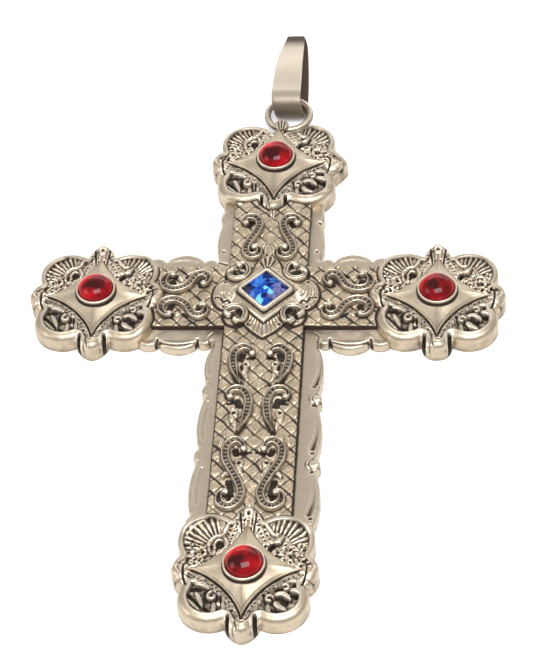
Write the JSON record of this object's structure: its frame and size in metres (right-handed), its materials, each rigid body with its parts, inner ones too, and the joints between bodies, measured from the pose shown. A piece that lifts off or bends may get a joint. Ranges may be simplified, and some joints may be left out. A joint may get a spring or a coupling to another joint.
{
  "type": "pectoral cross",
  "caption": "Antiqued silver pectoral cross with scalloped arms, star medallions, red and blue glass stones, chased scrolls, and a hinged bail on a hanging ring.",
  "frame": {"origin": "on the flat back, under the middle of the crossing", "axes": "+X to the right as seen from the front, +Y along the upright towards the hanging ring, +Z out of the front face"},
  "size_m": [0.0838, 0.1388, 0.0074],
  "materials": {
    "base_silver": "satin antiqued silver",
    "panel_silver": "chased silver with dark patina in the grooves",
    "scroll_silver": "polished raised silver scrolls",
    "medallion_silver": "chased silver with dark patina in the recesses",
    "plain_silver": "plain polished silver",
    "link_silver": "satin silver",
    "ruby_glass": "deep red glass cabochon",
    "sapphire_glass": "blue faceted glass"
  },
  "bodies": {
    "cross": {"base_plate": "base_silver", "panel_cross": "panel_silver", "upper_scroll_left": "scroll_silver", "left_scroll_upper": "scroll_silver", "left_scroll_lower": "scroll_silver", "lower_scroll_first_left": "scroll_silver", "lower_scroll_second_left": "scroll_silver", "lower_scroll_third_left": "scroll_silver", "upper_scroll_right": "scroll_silver", "right_scroll_upper": "scroll_silver", "right_scroll_lower": "scroll_silver", "lower_scroll_first_right": "scroll_silver", "lower_scroll_second_right": "scroll_silver", "lower_scroll_third_right": "scroll_silver", "right_medallion_cap": "medallion_silver", "right_star_plate": "plain_silver", "right_bezel_cup": "plain_silver", "right_cabochon": "ruby_glass", "upper_medallion_cap": "medallion_silver", "upper_star_plate": "plain_silver", "upper_bezel_cup": "plain_silver", "upper_cabochon": "ruby_glass", "left_medallion_cap": "medallion_silver", "left_star_plate": "plain_silver", "left_bezel_cup": "plain_silver", "left_cabochon": "ruby_glass", "lower_medallion_cap": "medallion_silver", "lower_star_plate": "plain_silver", "lower_bezel_cup": "plain_silver", "lower_cabochon": "ruby_glass", "centre_cartouche": "medallion_silver", "centre_bezel": "plain_silver", "centre_stone": "sapphire_glass", "hanger_eye": "link_silver"},
    "ring": {"jump_ring": "link_silver"},
    "bail": {"bail": "link_silver"}
  },
  "joints": [
    {"name": "ring_swing", "type": "hinge", "parent": "cross", "child": "ring", "pos_m": [0.00045, 0.043, 0.0019], "axis": [0.9659, -0.2588, 0], "range_deg": [-40, 55]},
    {"name": "bail_swing", "type": "hinge", "parent": "ring", "child": "bail", "pos_m": [0.00149, 0.05086, 0.0019], "axis": [1, 0, 0], "range_deg": [-5, 100]}
  ]
}
